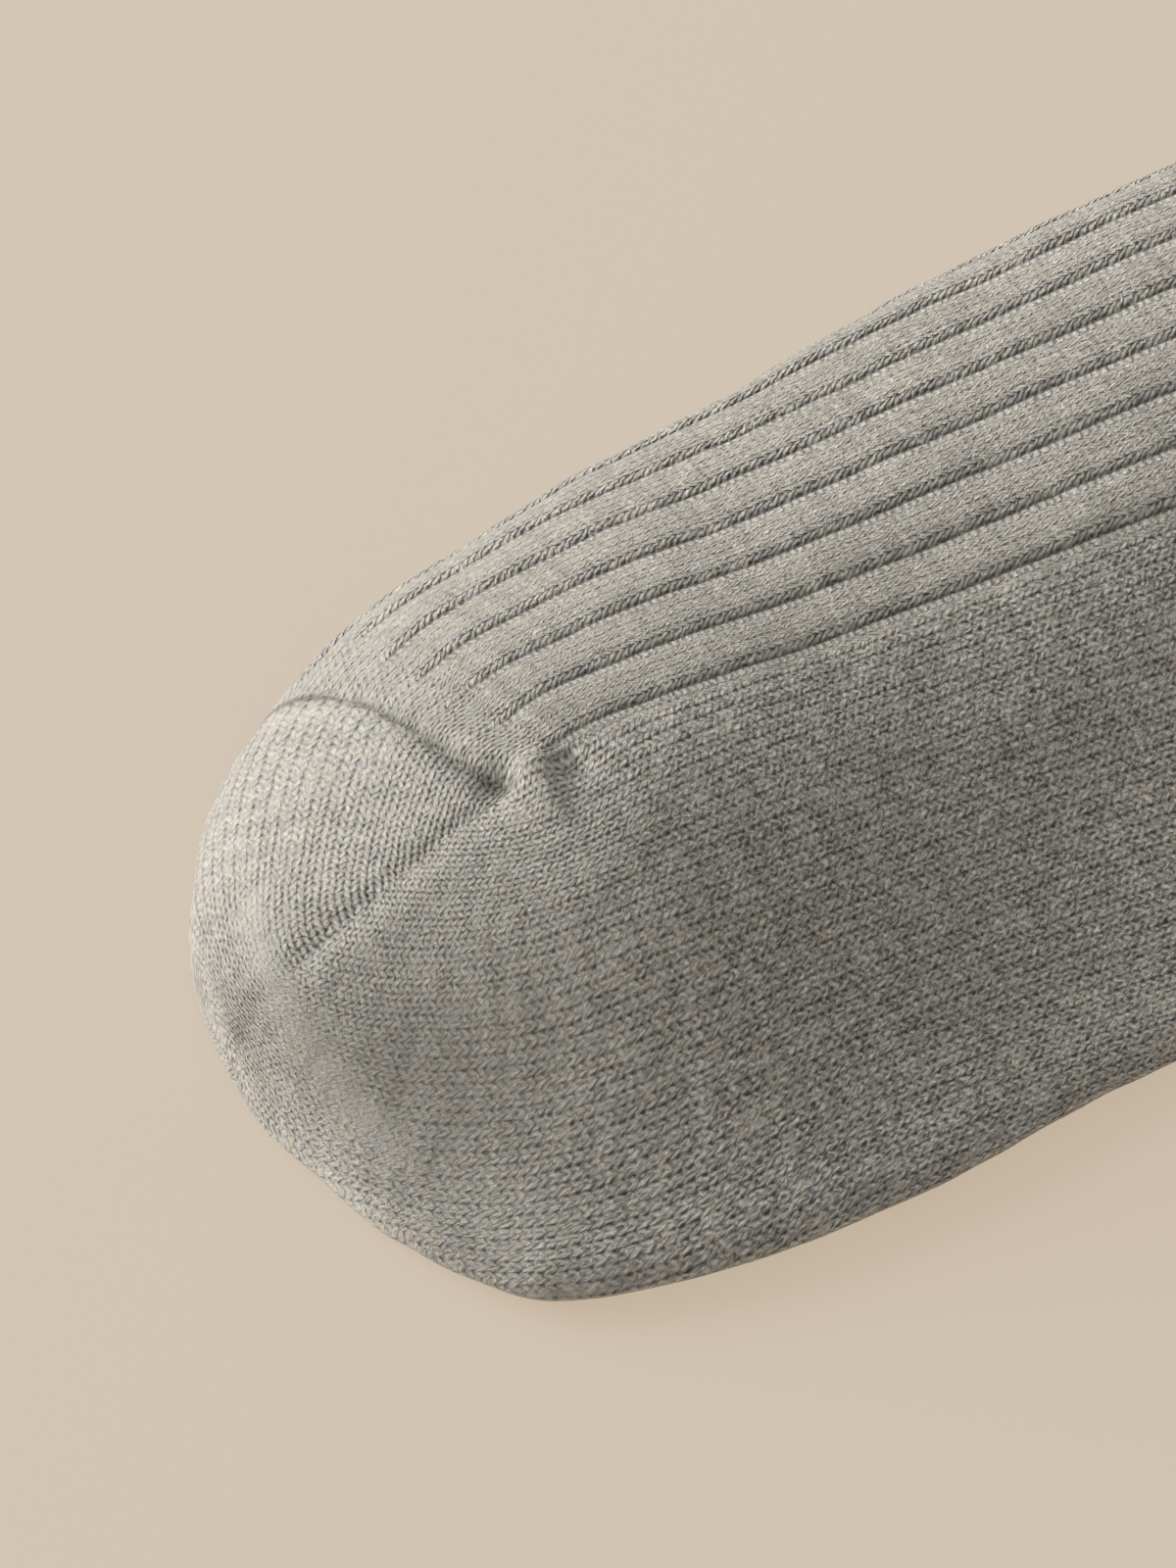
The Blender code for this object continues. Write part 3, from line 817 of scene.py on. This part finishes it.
    # A darker line along the toe seam, broken up by noise
    seam_width = n.add(0.45, n.mul(gore, 0.35))
    seam_dark_line = n.hump(n.math("DIVIDE", n.add(seam, 0.1), seam_width), 0.0, 1.0)
    seam_dark_line = n.mul(seam_dark_line, n.ramp(n.noise(n.vector(seam, n.mul(toe_c, 0.8), 3.0), 1.0, 2.0), 0.35, 0.6, 0.25, 0.62))
    tone = n.mul(tone, n.sub(1.0, seam_dark_line))
    # Painted sheen: the nap band's colour is lightened by 17 percent
    tone = n.math("MINIMUM", n.math("MAXIMUM", n.mul(tone, n.add(1.0, n.mul(nap_and_sheen, 0.17))), 0.10), 2.2)
    height = n.sub(1.0, n.mul(pit_depth_and_shade, 1.3))

    warm = n.noise(n.vector(n.mul(c, 0.9), n.mul(w, 0.6), 17.0), 1.0, 3.0, 0.6)
    warm = n.add(warm, n.mul(crown, 0.06))
    red = n.mul(tone, n.mul(albedo[0], n.ramp(warm, 0.3, 0.7, 0.975, 1.035)))
    green = n.mul(tone, albedo[1])
    blue = n.mul(tone, n.mul(albedo[2], n.ramp(warm, 0.3, 0.7, 1.04, 0.945)))
    colour = n.new("ShaderNodeCombineColor")
    for socket, v in zip(colour.inputs, (red, green, blue)):
        n.put(socket, v)
    n.put(n.shader.inputs["Base Color"], colour.outputs[0])

    bump_node = n.new("ShaderNodeBump")
    bump_node.inputs["Strength"].default_value = 1.0
    bump_node.inputs["Distance"].default_value = 0.00027
    n.put(bump_node.inputs["Height"], n.add(height, n.mul(fibre, 0.30)))
    n.put(n.shader.inputs["Normal"], bump_node.outputs[0])
    n.shader.inputs["Roughness"].default_value = 0.95
    n.shader.inputs["Specular IOR Level"].default_value = 0.15
    n.shader.inputs["Sheen Weight"].default_value = 0.35
    n.shader.inputs["Sheen Roughness"].default_value = 0.55
    n.shader.inputs["Sheen Tint"].default_value = (0.9, 0.87, 0.82, 1.0)
    return material


sock.data.materials.append(knit_material("heather_knit", (0.367, 0.353, 0.321)))
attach(sock, "root")
for node in ("toe_pocket", "foot", "heel_pocket", "leg", "cuff_welt"):
    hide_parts(node)

# ---------------------------------------------------------------- floor, light, camera
floor_mesh = bpy.data.meshes.new("floor")
floor_mesh.from_pydata([(-2, -2, 0), (2, -2, 0), (2, 2, 0), (-2, 2, 0)], [], [(0, 1, 2, 3)])
floor = bpy.data.objects.new("floor", floor_mesh)
bpy.context.scene.collection.objects.link(floor)
paper = bpy.data.materials.new("paper")
paper.use_nodes = True
paper.node_tree.nodes["Principled BSDF"].inputs["Base Color"].default_value = (0.130, 0.140, 0.145, 1.0)
paper.node_tree.nodes["Principled BSDF"].inputs["Emission Color"].default_value = (0.517, 0.419, 0.313, 1.0)
paper.node_tree.nodes["Principled BSDF"].inputs["Emission Strength"].default_value = 1.0
paper.node_tree.nodes["Principled BSDF"].inputs["Roughness"].default_value = 1.0
paper.node_tree.nodes["Principled BSDF"].inputs["Specular IOR Level"].default_value = 0.0
floor_mesh.materials.append(paper)
floor.location.z = -0.00005

ELEVATION, TURN, DISTANCE, FOCAL = math.radians(60), math.radians(26.5), 0.600, 6900.0
ground = Vector((math.sin(TURN), math.cos(TURN), 0))
right = Vector((math.cos(TURN), -math.sin(TURN), 0))
up = Vector((0, 0, 1))
look = ground * math.cos(ELEVATION) - up * math.sin(ELEVATION)
top = ground * math.sin(ELEVATION) + up * math.cos(ELEVATION)
target = Vector((41.04 - CENTRE[0], -CENTRE[1], 0)) * MM
camera = bpy.data.cameras.new("camera")
view = bpy.data.objects.new("camera", camera)
bpy.context.scene.collection.objects.link(view)
matrix = Matrix((right, top, -look)).transposed().to_4x4()
matrix.translation = target - look * DISTANCE
view.matrix_world = matrix
camera.sensor_width = 36
camera.lens = 36 * FOCAL / 1600
camera.clip_start = 0.01
bpy.context.scene.camera = view


def lamp(name, azimuth, elevation, distance, size, energy, colour):
    a, e = math.radians(azimuth), math.radians(elevation)
    way = (right * math.cos(a) + ground * math.sin(a)) * math.cos(e) + up * math.sin(e)
    light = bpy.data.lights.new(name, "AREA")
    light.shape, light.size, light.energy, light.color = "DISK", size, energy, colour
    obj = bpy.data.objects.new(name, light)
    bpy.context.scene.collection.objects.link(obj)
    obj.location = Vector(((60 - CENTRE[0]) * MM, -CENTRE[1] * MM, 0)) + way * distance
    obj.rotation_euler = (-way).to_track_quat("-Z", "Y").to_euler()
    return obj


lamp("key", 162, 19, 3.0, 2.4, 162.0, (1.0, 0.985, 0.96))
world = bpy.data.worlds.new("world")
bpy.context.scene.world = world
world.use_nodes = True
world.node_tree.nodes["Background"].inputs["Color"].default_value = (1.0, 0.985, 0.96, 1.0)
world.node_tree.nodes["Background"].inputs["Strength"].default_value = 0.47
bpy.context.scene.view_settings.view_transform = "Standard"
